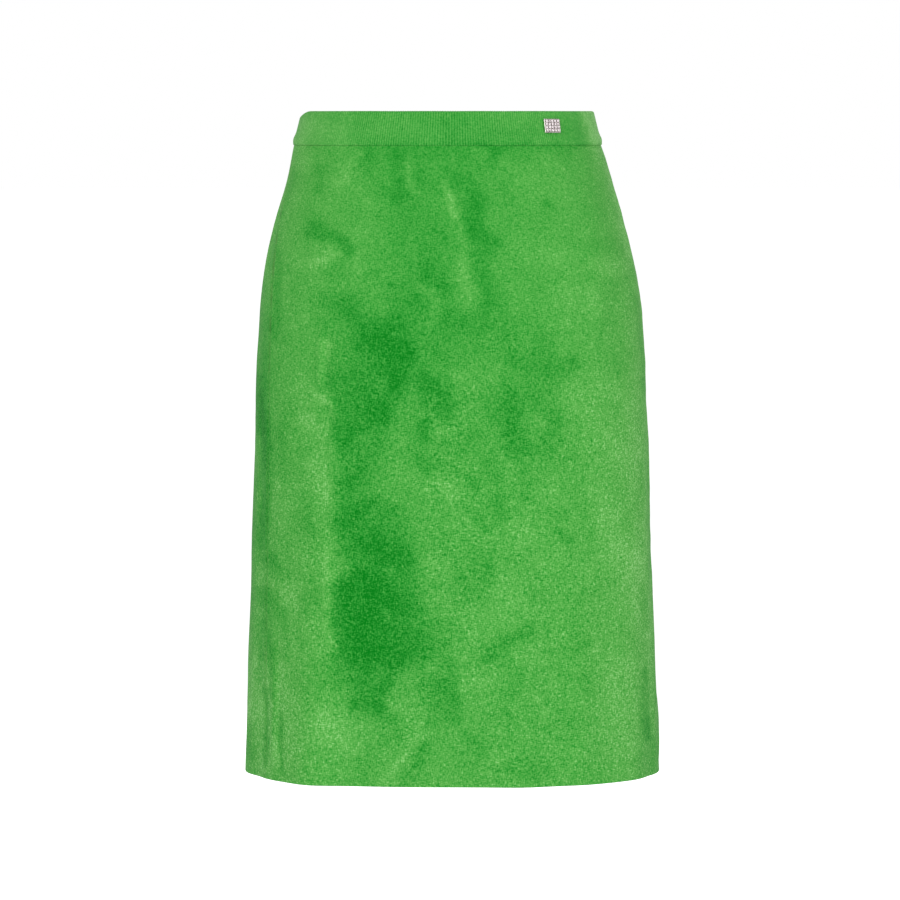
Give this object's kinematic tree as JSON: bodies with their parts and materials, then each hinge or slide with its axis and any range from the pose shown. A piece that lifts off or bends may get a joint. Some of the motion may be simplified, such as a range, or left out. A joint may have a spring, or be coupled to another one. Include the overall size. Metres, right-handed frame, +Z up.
{
  "type": "knee-length pencil skirt",
  "caption": "Knee-length pull-on pencil skirt in velour knit, filled out and hollow, with a ribbed waistband and a small stone-set metal plaque.",
  "frame": {"origin": "centre of the waist opening, level with the top edge of the waistband, where the wearer's waist holds the skirt", "axes": "+Z up out of the waist opening, the hem at z = -0.582; the front faces -Y; +X to the right as seen from the front, which is the wearer's left"},
  "size_m": [0.3666, 0.24, 0.5825],
  "materials": {
    "velour": "short dense velour pile on a knit ground, soft sheen, nap brushed in patches",
    "rib_knit": "fine one-by-one rib knit, slightly plush",
    "plaque_metal": "polished silver-coloured cast metal",
    "stone": "clear faceted glass stones"
  },
  "bodies": {
    "root": {"waistband": "rib_knit", "front_panel": "velour", "back_panel": "velour", "plaque_plate": "plaque_metal", "stone_1_1": "stone", "stone_1_2": "stone", "stone_1_3": "stone", "stone_1_4": "stone", "stone_1_5": "stone", "stone_2_1": "stone", "stone_2_2": "stone", "stone_2_3": "stone", "stone_2_4": "stone", "stone_2_5": "stone", "stone_3_1": "stone", "stone_3_2": "stone", "stone_3_3": "stone", "stone_3_4": "stone", "stone_3_5": "stone", "stone_4_1": "stone", "stone_4_2": "stone", "stone_4_3": "stone", "stone_4_4": "stone", "stone_4_5": "stone"}
  },
  "joints": []
}
